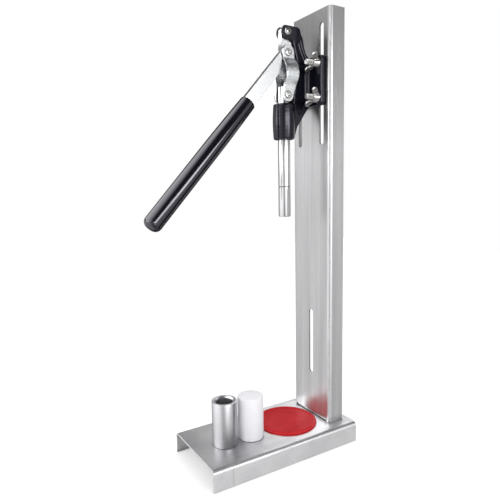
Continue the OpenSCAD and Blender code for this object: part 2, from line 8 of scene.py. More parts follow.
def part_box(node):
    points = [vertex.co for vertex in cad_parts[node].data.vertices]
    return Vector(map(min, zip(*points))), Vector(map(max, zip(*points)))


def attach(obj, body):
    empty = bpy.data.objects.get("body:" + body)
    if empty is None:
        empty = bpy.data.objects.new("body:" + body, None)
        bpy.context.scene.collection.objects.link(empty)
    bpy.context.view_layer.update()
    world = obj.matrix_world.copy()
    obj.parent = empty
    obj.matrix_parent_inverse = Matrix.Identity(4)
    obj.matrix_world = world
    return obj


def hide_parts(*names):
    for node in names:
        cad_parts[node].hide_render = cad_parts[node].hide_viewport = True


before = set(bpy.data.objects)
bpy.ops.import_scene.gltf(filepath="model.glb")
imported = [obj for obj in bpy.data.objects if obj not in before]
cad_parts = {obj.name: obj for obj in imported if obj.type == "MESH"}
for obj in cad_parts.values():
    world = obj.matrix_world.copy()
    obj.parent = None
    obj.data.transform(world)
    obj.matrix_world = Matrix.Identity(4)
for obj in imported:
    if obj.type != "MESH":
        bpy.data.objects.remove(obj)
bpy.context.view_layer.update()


# Studio
# A white room round the machine: the camera on the operator's right, walls that gloss shows bright
# or dark by their direction, seven panels of light, two weak lamps and a pale floor.
camera_place = Vector((0.570894, -0.343812, 0.379473))
camera_turn, camera_pitch, camera_roll = (math.radians(a) for a in (58.768, 7.107, -1.007))
sight = Vector((
    -math.sin(camera_turn) * math.cos(camera_pitch),
    math.cos(camera_turn) * math.cos(camera_pitch),
    -math.sin(camera_pitch),
))
level_right = sight.cross(Vector((0, 0, 1))).normalized()
level_up = level_right.cross(sight)
right = math.cos(camera_roll) * level_right + math.sin(camera_roll) * level_up
up = math.cos(camera_roll) * level_up - math.sin(camera_roll) * level_right
camera_data = bpy.data.cameras.new("studio_camera")
camera_data.sensor_width = 36
camera_data.lens = 34.894
camera_data.clip_start = 0.01
camera = bpy.data.objects.new("studio_camera", camera_data)
camera.matrix_world = (
    Matrix.Translation(camera_place) @ Matrix((right, up, -sight)).transposed().to_4x4()
)
bpy.context.collection.objects.link(camera)
bpy.context.scene.camera = camera
bpy.context.scene.view_settings.view_transform = "Standard"


def add_node(tree, kind, **settings):
    made = tree.nodes.new("ShaderNode" + kind)
    for name, value in settings.items():
        setattr(made, name, value)
    return made


def sum_node(tree, operation, first, second):
    """The result of a Math node on two values, each a number or another node's output."""
    made = add_node(tree, "Math", operation=operation)
    for socket, value in zip(made.inputs, (first, second)):
        if isinstance(value, (int, float)):
            socket.default_value = value
        else:
            tree.links.new(value, socket)
    return made.outputs[0]


# Brightness of the walls that gloss shows, by the compass angle from +X in degrees
wall_stops = [
    (-180, 0.1), (-170, 0.1), (-162, 0.65), (-138, 0.65), (-130, 1.25), (-72, 1.25),
    (-62, 0.85), (-52, 0.85), (-49, 0.22), (-38, 0.22), (-35, 0.6), (-28, 0.4), (-22, 0.0),
    (20, 0.0), (24, 0.8), (50, 0.8), (55, 0.05), (94, 0.05), (100, 0.15), (180, 0.1),
]
wall_peak = 9.0
# How much of it is left by height, from straight down to straight up, as the sine of the angle
height_stops = [
    (-1, 0.7), (-0.4, 0.82), (-0.25, 1.0), (-0.05, 0.85), (0.3, 0.8), (0.48, 0.25), (0.6, 0.05),
    (0.88, 0.05), (1, 1.0),
]
# Panels of light, each a span of compass angles and a span of heights
panels = [
    # behind on the left, for the base's top
    ([(104, 0.0), (116, 1.1), (158, 1.1), (164, 0.0)],
     [(0.2, 0.0), (0.3, 0.2), (0.44, 0.4), (0.52, 1.6), (0.72, 1.6), (0.84, 0.0)]),
    # high on the right, for the base's fold
    ([(24, 0.0), (34, 0.4), (90, 0.4), (100, 0.0)],
     [(0.2, 0.0), (0.4, 0.6), (0.6, 1.0), (0.72, 0.0)]),
    # high in front on the left, for the upper side of the grip
    ([(-170, 0.0), (-160, 0.8), (-130, 1.4), (-80, 1.2), (-48, 0.45), (-30, 0.0)],
     [(0.3, 0.0), (0.4, 2.4), (0.75, 2.4), (0.92, 2.0), (0.97, 0.0)]),
    # level in front on the right, broad and dim, for the sides of round pieces
    ([(-28, 0.3), (-22, 0.6), (22, 0.6), (26, 0.0)],
     [(-1, 0.5), (-0.3, 0.6), (-0.1, 1.0), (0.17, 1.0), (0.24, 0.05), (1, 0.02)]),
    # the same way, a bright strip for the sleeve and the grip
    ([(-20, 0.0), (-16, 1.0), (12, 1.0), (16, 0.0)],
     [(-0.5, 0.0), (-0.4, 1.2), (0.04, 1.2), (0.1, 7.0), (0.22, 7.0), (0.27, 0.0)]),
    # beside it, a narrower and brighter strip
    ([(12, 0.0), (16, 1.0), (22, 1.0), (26, 0.0)],
     [(-0.02, 0.0), (0.02, 8.5), (0.22, 8.5), (0.27, 0.0)]),
    # level on the left, for the sleeve's other side
    ([(-126, 0.0), (-120, 1.0), (-82, 1.0), (-76, 0.0)],
     [(0.07, 0.0), (0.11, 4.5), (0.22, 4.5), (0.27, 0.0)]),
]
world = bpy.data.worlds.new("white_room")
world.use_nodes = True
world.cycles.sampling_method = "NONE"
bpy.context.scene.world = world
room = world.node_tree
room.nodes.clear()
direction = add_node(room, "SeparateXYZ")
room.links.new(add_node(room, "TexCoord").outputs["Generated"], direction.inputs[0])
compass = sum_node(room, "ARCTAN2", direction.outputs["Y"], direction.outputs["X"])
turn_share = sum_node(room, "ADD", sum_node(room, "DIVIDE", compass, 2 * math.pi), 0.5)


def grey_ramp(tree, value, stops):
    """A ramp of greys over 0 to 1, from pairs of position and brightness."""
    ramp = add_node(tree, "ValToRGB")
    tree.links.new(value, ramp.inputs[0])
    while len(ramp.color_ramp.elements) < len(stops):
        ramp.color_ramp.elements.new(0.5)
    for element, (place, _) in zip(ramp.color_ramp.elements, stops):
        element.position = place
    for element, (_, brightness) in zip(ramp.color_ramp.elements, stops):
        element.color = (brightness,) * 3 + (1,)
    return ramp.outputs["Color"]


walls = grey_ramp(room, turn_share,
                  [((angle + 180) / 360, level / wall_peak) for angle, level in wall_stops])
height_share = sum_node(room, "MULTIPLY_ADD", direction.outputs["Z"], 0.5)
height_share.node.inputs[2].default_value = 0.5
heights = grey_ramp(room, height_share, [((sine + 1) / 2, level) for sine, level in height_stops])
wall_light = sum_node(room, "MULTIPLY", walls, heights)
for across_stops, height_levels in panels:
    across = grey_ramp(room, turn_share, [
        ((angle + 180) / 360, level / wall_peak) for angle, level in across_stops])
    upwards = grey_ramp(room, height_share, [
        ((sine + 1) / 2, level / wall_peak) for sine, level in height_levels])
    panel = sum_node(room, "MULTIPLY", sum_node(room, "MULTIPLY", across, upwards), wall_peak)
    wall_light = sum_node(room, "ADD", wall_light, panel)
seen_by = add_node(room, "LightPath")


def room_light(strength):
    light = add_node(room, "Background")
    light.inputs["Color"].default_value = (1, 1, 1, 1)
    light.inputs["Strength"].default_value = strength
    return light


ambient = room_light(0.95)
white_wall = room_light(1.0)
gloss_wall = room_light(wall_peak)
room.links.new(wall_light, gloss_wall.inputs["Color"])
chosen = ambient
for ray, light in (("Is Glossy Ray", gloss_wall), ("Is Transmission Ray", white_wall),
                   ("Is Camera Ray", white_wall)):
    pick = add_node(room, "MixShader")
    room.links.new(seen_by.outputs[ray], pick.inputs[0])
    room.links.new(chosen.outputs[0], pick.inputs[1])
    room.links.new(light.outputs[0], pick.inputs[2])
    chosen = pick
room.links.new(chosen.outputs[0], add_node(room, "OutputWorld").inputs["Surface"])

lamp_target = Vector((0, 0, 0.3))
for lamp_name, power, size, place in (
    ("key_lamp", 7, 1.2, (1.0, -1.5, 0.8)),
    ("fill_lamp", 6, 1.5, (1.9, 0.3, 0.9)),
):
    lamp_data = bpy.data.lights.new(lamp_name, "AREA")
    lamp_data.energy = power
    lamp_data.size = size
    lamp = bpy.data.objects.new(lamp_name, lamp_data)
    lamp.location = place
    lamp.rotation_euler = (Vector(place) - lamp_target).to_track_quat("Z", "Y").to_euler()
    lamp.visible_glossy = False
    bpy.context.collection.objects.link(lamp)

floor_size, floor_drop, floor_glow_level = 2.2, 0.0004, 0.35
floor_finish = bpy.data.materials.new("pale_floor")
floor_finish.use_nodes = True
floor_tree = floor_finish.node_tree
floor_tree.nodes.clear()
floor_paint = add_node(floor_tree, "BsdfDiffuse")
floor_paint.inputs["Color"].default_value = (0.86, 0.86, 0.86, 1)
floor_glow = add_node(floor_tree, "Emission")
floor_sum = add_node(floor_tree, "AddShader")
floor_rays = add_node(floor_tree, "LightPath")
floor_tree.links.new(
    sum_node(floor_tree, "MULTIPLY", floor_rays.outputs["Is Camera Ray"], floor_glow_level),
    floor_glow.inputs["Strength"],
)
floor_tree.links.new(floor_paint.outputs[0], floor_sum.inputs[0])
floor_tree.links.new(floor_glow.outputs[0], floor_sum.inputs[1])
floor_tree.links.new(floor_sum.outputs[0], add_node(floor_tree, "OutputMaterial").inputs[0])
floor_shape = bmesh.new()
bmesh.ops.create_grid(floor_shape, x_segments=1, y_segments=1, size=floor_size)
bmesh.ops.translate(floor_shape, verts=floor_shape.verts, vec=(0, 0, -floor_drop))
floor_mesh = bpy.data.meshes.new("studio_floor")
floor_shape.to_mesh(floor_mesh)
floor_shape.free()
floor_mesh.materials.append(floor_finish)
floor = bpy.data.objects.new("studio_floor", floor_mesh)
bpy.context.collection.objects.link(floor)
floor.visible_glossy = False


# Base
# A plate of brushed stainless steel, 2.5 mm thick, folded down along both long sides and left
# open at both ends. Its edges are cut and lightly broken, and its grain runs from end to end.
MM = 0.001


def shader_group(name, inputs, outputs):
    group = bpy.data.node_groups.new(name, "ShaderNodeTree")
    for title, kind, start in inputs:
        socket = group.interface.new_socket(title, in_out="INPUT", socket_type=kind)
        socket.default_value = start
    for title in outputs:
        group.interface.new_socket(title, in_out="OUTPUT", socket_type="NodeSocketFloat")
    return group, group.nodes.new("NodeGroupInput"), group.nodes.new("NodeGroupOutput")


def stretched_range(tree, value, low, high, start=0.0, end=1.0):
    made = add_node(tree, "MapRange")
    tree.links.new(value, made.inputs["Value"])
    for title, number in (("From Min", low), ("From Max", high), ("To Min", start),
                          ("To Max", end)):
        made.inputs[title].default_value = number
    return made.outputs["Result"]


# Fine lines that a brush, a belt or a cutting tool leaves, closest together where Pitch is high
tool_lines, lines_in, lines_out = shader_group(
    "tool_lines", [("Pitch", "NodeSocketVector", (100.0, 100.0, 100.0))], ["Lines"])
lines_place = add_node(tool_lines, "VectorMath", operation="MULTIPLY")
tool_lines.links.new(add_node(tool_lines, "TexCoord").outputs["Object"], lines_place.inputs[0])
tool_lines.links.new(lines_in.outputs["Pitch"], lines_place.inputs[1])
lines_noise = add_node(tool_lines, "TexNoise")
tool_lines.links.new(lines_place.outputs[0], lines_noise.inputs["Vector"])
for title, number in (("Scale", 1.0), ("Detail", 4.0), ("Roughness", 0.6)):
    lines_noise.inputs[title].default_value = number
tool_lines.links.new(stretched_range(tool_lines, lines_noise.outputs[0], 0.32, 0.68),
                     lines_out.inputs["Lines"])

# Soft uneven patches, as hands, wiping and cooling leave them
surface_marks, marks_in, marks_out = shader_group(
    "surface_marks", [("Scale", "NodeSocketFloat", 20.0)], ["Marks"])
marks_noise = add_node(surface_marks, "TexNoise")
surface_marks.links.new(add_node(surface_marks, "TexCoord").outputs["Object"],
                        marks_noise.inputs["Vector"])
surface_marks.links.new(marks_in.outputs["Scale"], marks_noise.inputs["Scale"])
for title, number in (("Detail", 3.0), ("Roughness", 0.5), ("Distortion", 0.4)):
    marks_noise.inputs[title].default_value = number
surface_marks.links.new(stretched_range(surface_marks, marks_noise.outputs[0], 0.3, 0.7),
                        marks_out.inputs["Marks"])

# Edges that are rubbed bright, and edges that carry a painted highlight or a painted dark outline
edge_wear_and_light, edge_in, edge_out = shader_group(
    "edge_wear_and_light", [("Reach", "NodeSocketFloat", 0.001)], ["Edge"])
edge_bevel = add_node(edge_wear_and_light, "Bevel", samples=4)
edge_wear_and_light.links.new(edge_in.outputs["Reach"], edge_bevel.inputs["Radius"])
edge_turn = add_node(edge_wear_and_light, "VectorMath", operation="DOT_PRODUCT")
edge_wear_and_light.links.new(edge_bevel.outputs[0], edge_turn.inputs[0])
edge_wear_and_light.links.new(add_node(edge_wear_and_light, "NewGeometry").outputs["Normal"], edge_turn.inputs[1])
edge_wear_and_light.links.new(stretched_range(edge_wear_and_light, edge_turn.outputs["Value"], 0.985, 0.86),
                    edge_out.inputs["Edge"])

# Painted shade in corners and seams, where ambient occlusion finds that light is lost
painted_corner_shade, occlusion_in, occlusion_out = shader_group(
    "painted_corner_shade", [("Reach", "NodeSocketFloat", 0.002)], ["Corner"])
occlusion_node = add_node(painted_corner_shade, "AmbientOcclusion", samples=6)
painted_corner_shade.links.new(occlusion_in.outputs["Reach"], occlusion_node.inputs["Distance"])
painted_corner_shade.links.new(stretched_range(painted_corner_shade, occlusion_node.outputs["AO"], 0.85, 0.4),
                       occlusion_out.inputs["Corner"])


def effect(tree, group, title, value, result):
    made = add_node(tree, "Group", node_tree=group)
    made.inputs[title].default_value = value
    return made.outputs[result]


# Places of a Mix node's two colours and of the colour that comes out
MIX_A, MIX_B, MIX_OUT = 6, 7, 2


def mixed_colour(tree, factor, first, second):
    made = add_node(tree, "Mix", data_type="RGBA")
    tree.links.new(factor, made.inputs["Factor"])
    for socket, value in ((made.inputs[MIX_A], first), (made.inputs[MIX_B], second)):
        if isinstance(value, tuple):
            socket.default_value = value + (1,)
        else:
            tree.links.new(value, socket)
    return made.outputs[MIX_OUT]


line_depth = 0.05 * MM
wave_scale = 14.0


def metal_finish(name, tone, shade, edge_tone, gloss, dull, pitch, relief, marks, reach=1.0,
                 patchy=0.5, corner_shade_reach=2.0, bands=None, fades=(), rim=0.0, waves=0.0):
    """A bare metal: its lines lie between two tones, and its roughness between gloss and dull.

    Pitch is how close the lines lie along each axis, and marks is how fine the soft patches are.
    Patchy is how much the patches count, and bands are broad lines in their place. Reach,
    corner_shade_reach and waves are millimetres, for worn edges and edges with painted light,
    corners with painted shade and uneven sheet. A fade is (axis, start, end, stops, side): how
    much of the tone is left along an axis, on the sides that face another. A rim darkens the
    metal's glancing gloss."""
    material = bpy.data.materials.new(name)
    material.use_nodes = True
    tree = material.node_tree
    shader = tree.nodes["Principled BSDF"]
    shader.inputs["Metallic"].default_value = 1.0
    shader.inputs["Specular Tint"].default_value = (1 - rim,) * 3 + (1,)
    lines = effect(tree, tool_lines, "Pitch", pitch, "Lines")
    if bands:
        patches = effect(tree, tool_lines, "Pitch", bands, "Lines")
    else:
        patches = effect(tree, surface_marks, "Scale", marks, "Marks")
    edge = effect(tree, edge_wear_and_light, "Reach", reach * MM, "Edge")
    both = sum_node(tree, "ADD", sum_node(tree, "MULTIPLY", lines, 1 - patchy),
                    sum_node(tree, "MULTIPLY", patches, patchy))
    corner = effect(tree, painted_corner_shade, "Reach", corner_shade_reach * MM, "Corner")
    colour = mixed_colour(tree, both, shade, tone)
    colour = mixed_colour(tree, edge, colour, edge_tone)
    for axis, low, high, stops, side in fades:
        place = add_node(tree, "SeparateXYZ")
        tree.links.new(add_node(tree, "TexCoord").outputs["Object"], place.inputs[0])
        facing = add_node(tree, "SeparateXYZ")
        tree.links.new(add_node(tree, "NewGeometry").outputs["Normal"], facing.inputs[0])
        faced = sum_node(tree, "ABSOLUTE", facing.outputs[side], 0.0)
        tint = add_node(tree, "Mix", data_type="RGBA", blend_type="MULTIPLY")
        tree.links.new(stretched_range(tree, faced, 0.3, 0.9), tint.inputs["Factor"])
        tree.links.new(colour, tint.inputs[MIX_A])
        share = stretched_range(tree, place.outputs[axis], low, high)
        tree.links.new(grey_ramp(tree, share, stops), tint.inputs[MIX_B])
        colour = tint.outputs[MIX_OUT]
    # Painted shade: corners darken towards a quarter of the darker tone
    colour = mixed_colour(tree, corner, colour, tuple(0.25 * level for level in shade))
    tree.links.new(colour, shader.inputs["Base Color"])
    tree.links.new(stretched_range(tree, both, 0.0, 1.0, dull, gloss), shader.inputs["Roughness"])
    bump = add_node(tree, "Bump")
    bump.inputs["Strength"].default_value = relief
    bump.inputs["Distance"].default_value = line_depth
    tree.links.new(lines, bump.inputs["Height"])
    tree.links.new(bump.outputs[0], shader.inputs["Normal"])
    if waves:
        swell = add_node(tree, "Bump")
        swell.inputs["Distance"].default_value = waves * MM
        tree.links.new(effect(tree, surface_marks, "Scale", wave_scale, "Marks"),
                       swell.inputs["Height"])
        tree.links.new(swell.outputs[0], bump.inputs["Normal"])
    return material


weld_gap = 0.002 * MM


def copy_of(node_name):
    """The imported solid's mesh with its loose triangles merged into whole faces."""
    shape = bmesh.new()
    shape.from_mesh(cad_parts[node_name].data)
    bmesh.ops.remove_doubles(shape, verts=shape.verts, dist=weld_gap)
    bmesh.ops.dissolve_limit(shape, angle_limit=math.radians(0.6), verts=shape.verts,
                             edges=shape.edges)
    return shape


def round_edges(shape, width, segments, sharper_than=35, chosen=None):
    edges = [
        e for e in shape.edges
        if e.is_manifold and e.calc_face_angle() > math.radians(sharper_than)
        and (chosen is None or chosen(e))
    ]
    bmesh.ops.bevel(shape, geom=edges, offset=width, offset_type="OFFSET", segments=segments,
                    profile=0.5, affect="EDGES", clamp_overlap=True, material=-1)


def piece(shape, name, material, body, slot, *stands_for):
    """Turns a shape into a finished piece that rides on a body and stands for CAD nodes."""
    mesh = bpy.data.meshes.new(name)
    shape.to_mesh(mesh)
    shape.free()
    mesh.materials.append(material)
    mesh.shade_smooth()
    mesh.set_sharp_from_angle(angle=math.radians(38))
    made = bpy.data.objects.new(name, mesh)
    bpy.context.collection.objects.link(made)
    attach(made, body)
    if stands_for:
        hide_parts(*stands_for)
    return made


def even_shading(made):
    flat = made.modifiers.new("even_shading", "WEIGHTED_NORMAL")
    flat.keep_sharp = True


def darken_inside(shape, inside):
    """Gives the faces on the hidden side of folded sheet their own finish, unbrushed and darker as
    painted shade.
    """
    for face in shape.faces:
        if inside(face.calc_center_median()):
            face.material_index = 1


cut_edge, inner_face = 0.35 * MM, 1 * MM
base_low, base_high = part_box("base")
# Its top grows darker towards the front, a painted reflection, where a fine upright line crosses
# its flanges
base_finish = metal_finish(
    "brushed_base", tone=(0.94, 0.94, 0.95), shade=(0.70, 0.70, 0.72),
    edge_tone=(0.94, 0.94, 0.95), gloss=0.36, dull=0.50, pitch=(900.0, 14.0, 900.0), relief=0.35,
    marks=22.0, waves=1.0, fades=[
        ("Y", base_low.y, base_high.y, [(0.0, 0.53), (0.2, 0.64), (0.45, 0.92), (0.7, 1.0)], "Z"),
        ("Y", base_low.y, base_high.y, [(0.115, 1.0), (0.118, 0.7), (0.122, 1.0)], "X"),
    ])
# The sheet's inner faces: unbrushed, darker as painted shade, with wide painted shade in their
# corners
shaded_inside_finish = metal_finish(
    "unbrushed_shaded_inside", tone=(0.62, 0.62, 0.63), shade=(0.44, 0.44, 0.45),
    edge_tone=(0.60, 0.60, 0.61), gloss=0.55, dull=0.75, pitch=(200.0, 200.0, 200.0), relief=0.2,
    marks=30.0, corner_shade_reach=12.0)
base_shape = copy_of("base")
round_edges(base_shape, cut_edge, 2)
darken_inside(base_shape, lambda middle: middle.z < base_high.z - inner_face
            and base_low.x + inner_face < middle.x < base_high.x - inner_face)
base_made = piece(base_shape, "base_plate", base_finish, "frame", "stainless_sheet", "base")
base_made.data.materials.append(shaded_inside_finish)
even_shading(base_made)


# Column
# A tall channel of the same stainless sheet, open at the back, with two long slots for the head's
# bolts, one slot below, and a tab at its foot that is bolted to the base. Its grain runs upwards.
column_low, column_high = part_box("column")
# Its front and its flanges grow darker towards the top, a painted reflection
column_finish = metal_finish(
    "brushed_column", tone=(0.74, 0.74, 0.75), shade=(0.48, 0.48, 0.49),
    edge_tone=(0.86, 0.86, 0.87), gloss=0.22, dull=0.42, pitch=(900.0, 900.0, 9.0), relief=0.35,
    marks=16.0, patchy=0.7, bands=(75.0, 75.0, 2.2), fades=[
        ("Z", 0.0, column_high.z, [(0.0, 1.0), (0.2, 0.85), (0.4, 0.85), (0.55, 0.85), (0.68, 0.96),
                                   (0.78, 0.85), (0.87, 0.42), (0.95, 0.28)], "Y"),
        ("Z", 0.0, column_high.z, [(0.7, 1.0), (0.84, 0.72), (1.0, 0.6)], "X"),
    ])
above_tab = base_high.z + 4 * MM
column_shape = copy_of("column")
round_edges(column_shape, cut_edge, 2)
darken_inside(column_shape, lambda middle: middle.y > column_low.y + inner_face
            and column_low.x + inner_face < middle.x < column_high.x - inner_face
            and middle.z > above_tab)
column_made = piece(column_shape, "column_channel", column_finish, "frame", "stainless_sheet",
                    "column")
column_made.data.materials.append(shaded_inside_finish)
even_shading(column_made)


# Foot bolts
# Two zinc-plated hexagon bolts hold the column's foot tab to the base, with washers and nuts below.
# Their heads are forged with a chamfered rim and their shanks are threaded.
zinc_finish = metal_finish(
    "bright_zinc", tone=(0.68, 0.67, 0.66), shade=(0.46, 0.45, 0.44),
    edge_tone=(0.86, 0.85, 0.84), gloss=0.22, dull=0.38, pitch=(700.0, 700.0, 700.0), relief=0.25,
    marks=160.0, reach=0.4)


def turned(profile, steps=64):
    """A shape spun about the z axis from a profile of (radius, height) in millimetres."""
    shape = bmesh.new()
    corners = [shape.verts.new((radius * MM, 0, height * MM)) for radius, height in profile]
    sides = [shape.edges.new(pair) for pair in zip(corners, corners[1:])]
    bmesh.ops.spin(shape, geom=corners + sides, cent=(0, 0, 0), axis=(0, 0, 1), dvec=(0, 0, 0),
                   angle=2 * math.pi, steps=steps, use_merge=True, use_duplicate=False)
    bmesh.ops.remove_doubles(shape, verts=shape.verts, dist=0.0005 * MM)
    bmesh.ops.recalc_face_normals(shape, faces=shape.faces)
    return shape


def arc(radius, height, size, start, end, steps=5):
    """Points of a rounded corner about (radius, height), from one angle to another in degrees."""
    angles = [math.radians(start + (end - start) * k / steps) for k in range(steps + 1)]
    return [(radius + size * math.cos(a), height + size * math.sin(a)) for a in angles]


def set_in_place(shape, place, axis=(0, 0, 1)):
    """Stands a shape made along z on a point, along an axis."""
    turn = Vector((0, 0, 1)).rotation_difference(Vector(axis)).to_matrix().to_4x4()
    bmesh.ops.transform(shape, matrix=Matrix.Translation(Vector(place)) @ turn, verts=shape.verts)
    return shape


def joined(shapes):
    """Puts several shapes into one mesh."""
    whole = bmesh.new()
    for shape in shapes:
        carrier = bpy.data.meshes.new("carrier")
        shape.to_mesh(carrier)
        shape.free()
        whole.from_mesh(carrier)
        bpy.data.meshes.remove(carrier)
    return whole


def thread_profile(radius, start, end, pitch=1.25, depth=0.55):
    """Profile of a threaded shank, as rings one pitch apart, with its tip at the end."""
    tip = 1.0
    run_out = tip + 0.6
    points = [(0, start), (radius, start)]
    turns = int((end - start - run_out) / pitch)
    first = end - run_out - turns * pitch
    for turn in range(turns):
        height = first + turn * pitch
        points += [(radius, height), (radius - depth, height + 0.5 * pitch),
                   (radius, height + 0.9 * pitch)]
    return points + [(radius, end - tip), (radius - tip, end), (0, end)]


def hexagon(across_flats, height):
    """A forged hexagon, from z = 0 up, with its upper corners chamfered."""
    corner_r = across_flats / math.sqrt(3) * MM
    rim_chamfer, edge_break, near_top = 0.7 * MM, 0.25 * MM, 0.1 * MM
    shape = bmesh.new()
    bmesh.ops.create_cone(shape, cap_ends=True, segments=6, radius1=corner_r, radius2=corner_r,
                          depth=height * MM)
    bmesh.ops.translate(shape, verts=shape.verts, vec=(0, 0, height / 2 * MM))
    top = max(v.co.z for v in shape.verts)
    rim = [e for e in shape.edges if all(v.co.z > top - near_top for v in e.verts)]
    bmesh.ops.bevel(shape, geom=rim, offset=rim_chamfer, offset_type="OFFSET", segments=2,
                    profile=0.5, affect="EDGES", clamp_overlap=True, material=-1)
    round_edges(shape, edge_break, 2)
    return shape


def washer(inner, outer, height):
    """A stamped ring with rounded edges, from z = 0 up."""
    chamfer, rounding = 0.2, 0.4
    return turned(
        [(inner, chamfer), (inner, height - chamfer), (inner + chamfer, height)]
        + arc(outer - rounding, height - rounding, rounding, 90, 0)
        + arc(outer - rounding, rounding, rounding, 0, -90)
        + [(inner + chamfer, 0), (inner, chamfer)], 48)


across_flats, bolt_head_h, nut_h = 13.0, 5.3, 6.5
shank_r, washer_hole_r, washer_r, washer_t = 4.0, 4.4, 8.0, 1.6
foot_low, foot_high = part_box("foot_bolts")
foot_x = foot_high.x - across_flats / math.sqrt(3) * MM
foot_y = (foot_low.y + foot_high.y) / 2
foot_seat = foot_high.z - bolt_head_h * MM
foot_length = (foot_seat - foot_low.z) / MM
washer_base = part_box("foot_washers")[0].z
nut_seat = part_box("foot_nuts")[1].z
bolt_shapes = []
washer_shapes = []
nut_shapes = []
for x in (-foot_x, foot_x):
    bolt_shapes.append(set_in_place(hexagon(across_flats, bolt_head_h), (x, foot_y, foot_seat)))
    bolt_shapes.append(set_in_place(turned(thread_profile(shank_r, 0, foot_length), 32),
                                    (x, foot_y, foot_seat), (0, 0, -1)))
    washer_shapes.append(set_in_place(washer(washer_hole_r, washer_r, washer_t),
                                      (x, foot_y, washer_base)))
    nut_shapes.append(set_in_place(hexagon(across_flats, nut_h), (x, foot_y, nut_seat), (0, 0, -1)))
piece(joined(bolt_shapes), "foot_bolt_pair", zinc_finish, "frame", "zinc_plate", "foot_bolts")
piece(joined(washer_shapes), "foot_washer_pair", zinc_finish, "frame", "zinc_plate",
      "foot_washers")
piece(joined(nut_shapes), "foot_nut_pair", zinc_finish, "frame", "zinc_plate", "foot_nuts")


# Mat
# A round disc of red rubber that keeps what stands on it from sliding. It is moulded with a raised
# ring near its rim and stuck to the base.
skin_depth = 0.1 * MM


def coated_finish(name, tone, shade, edge_tone, rough, coat, peel, peel_scale, marks, reach=1.2,
                  sheen=0.35, tint=(1.0, 1.0, 1.0), coat_rough=0.06):
    """Paint, rubber or plastic: tone and shade in soft patches, with a fine uneven skin.

    Peel is how strong that skin is, and peel_scale and marks are how fine the skin and the
    patches are. Sheen is the gloss of the surface under the coat, and reach is millimetres."""
    material = bpy.data.materials.new(name)
    material.use_nodes = True
    tree = material.node_tree
    shader = tree.nodes["Principled BSDF"]
    shader.inputs["Coat Weight"].default_value = coat
    shader.inputs["Coat Roughness"].default_value = coat_rough
    shader.inputs["Specular IOR Level"].default_value = sheen
    shader.inputs["Specular Tint"].default_value = tint + (1,)
    patches = effect(tree, surface_marks, "Scale", marks, "Marks")
    skin = effect(tree, surface_marks, "Scale", peel_scale, "Marks")
    edge = effect(tree, edge_wear_and_light, "Reach", reach * MM, "Edge")
    colour = mixed_colour(tree, patches, shade, tone)
    colour = mixed_colour(tree, edge, colour, edge_tone)
    tree.links.new(colour, shader.inputs["Base Color"])
    tree.links.new(stretched_range(tree, patches, 0.0, 1.0, rough * 1.25, rough * 0.85),
                   shader.inputs["Roughness"])
    bump = add_node(tree, "Bump")
    bump.inputs["Strength"].default_value = peel
    bump.inputs["Distance"].default_value = skin_depth
    tree.links.new(skin, bump.inputs["Height"])
    tree.links.new(bump.outputs[0], shader.inputs["Normal"])
    return material


mat_finish = coated_finish(
    "red_rubber", tone=(0.54, 0.003, 0.009), shade=(0.44, 0.002, 0.007),
    edge_tone=(0.66, 0.02, 0.03), rough=0.50, coat=0.20, peel=0.12, peel_scale=900.0, marks=40.0,
    sheen=0.1, coat_rough=0.10)
mat_low, mat_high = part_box("bottle_mat")
mat_middle = (mat_low + mat_high) / 2
mat_r = (mat_high.x - mat_low.x) / 2 / MM
mat_top, mat_rounding = 2.2, 0.6
ring_middle, ring_rise, ring_foot = 40.0, 0.9, 1.3
mat_shape = turned(
    [(0, 0), (mat_r, 0)]
    + arc(mat_r - mat_rounding, mat_top - mat_rounding, mat_rounding, 0, 90)
    + [(ring_middle + ring_foot, mat_top)]
    + arc(ring_middle, mat_top, ring_rise, 0, 180, 8)
    + [(ring_middle - ring_foot, mat_top), (0, mat_top)], 128)
set_in_place(mat_shape, (mat_middle.x, mat_middle.y, mat_low.z))
piece(mat_shape, "red_bottle_mat", mat_finish, "frame", "red_mat", "bottle_mat")


# Head casting
# One iron casting: a plate against the column, a ribbed arm, a fork for the lever and a sleeve
# that guides the plunger. It is painted in glossy black enamel, which softens every edge.
# Its lighter edge tone paints highlights along the rims
enamel_finish = coated_finish(
    "black_enamel", tone=(0.005, 0.005, 0.010), shade=(0.003, 0.003, 0.007),
    edge_tone=(0.040, 0.040, 0.060), rough=0.15, coat=0.0, peel=0.2, peel_scale=420.0, marks=60.0,
    sheen=0.45, tint=(0.93, 0.90, 1.0))


def cast_skin(made, voxel, passes):
    """Lets a casting's edges and inner corners run soft, as a mould and its paint leave them."""
    skin = made.modifiers.new("cast_skin", "REMESH")
    skin.mode = "VOXEL"
    skin.voxel_size = voxel * MM
    skin.use_smooth_shade = True
    soft = made.modifiers.new("soft_edges", "SMOOTH")
    soft.factor = 0.5
    soft.iterations = passes


casting = piece(copy_of("head_casting"), "head_casting_body", enamel_finish, "carriage",
                "black_enamel", "head_casting")
cast_skin(casting, voxel=0.75, passes=6)


# Clamp bolts
# Four hexagon bolts come through the column's slots from behind, each with a wide washer, and
# stand out of the plate so that wing nuts can be tightened on them by hand.
clamp_low, clamp_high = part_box("clamp_bolts")
clamp_seat = clamp_high.y - bolt_head_h * MM
clamp_length = (clamp_seat - clamp_low.y) / MM
washer_low, washer_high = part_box("clamp_washers")
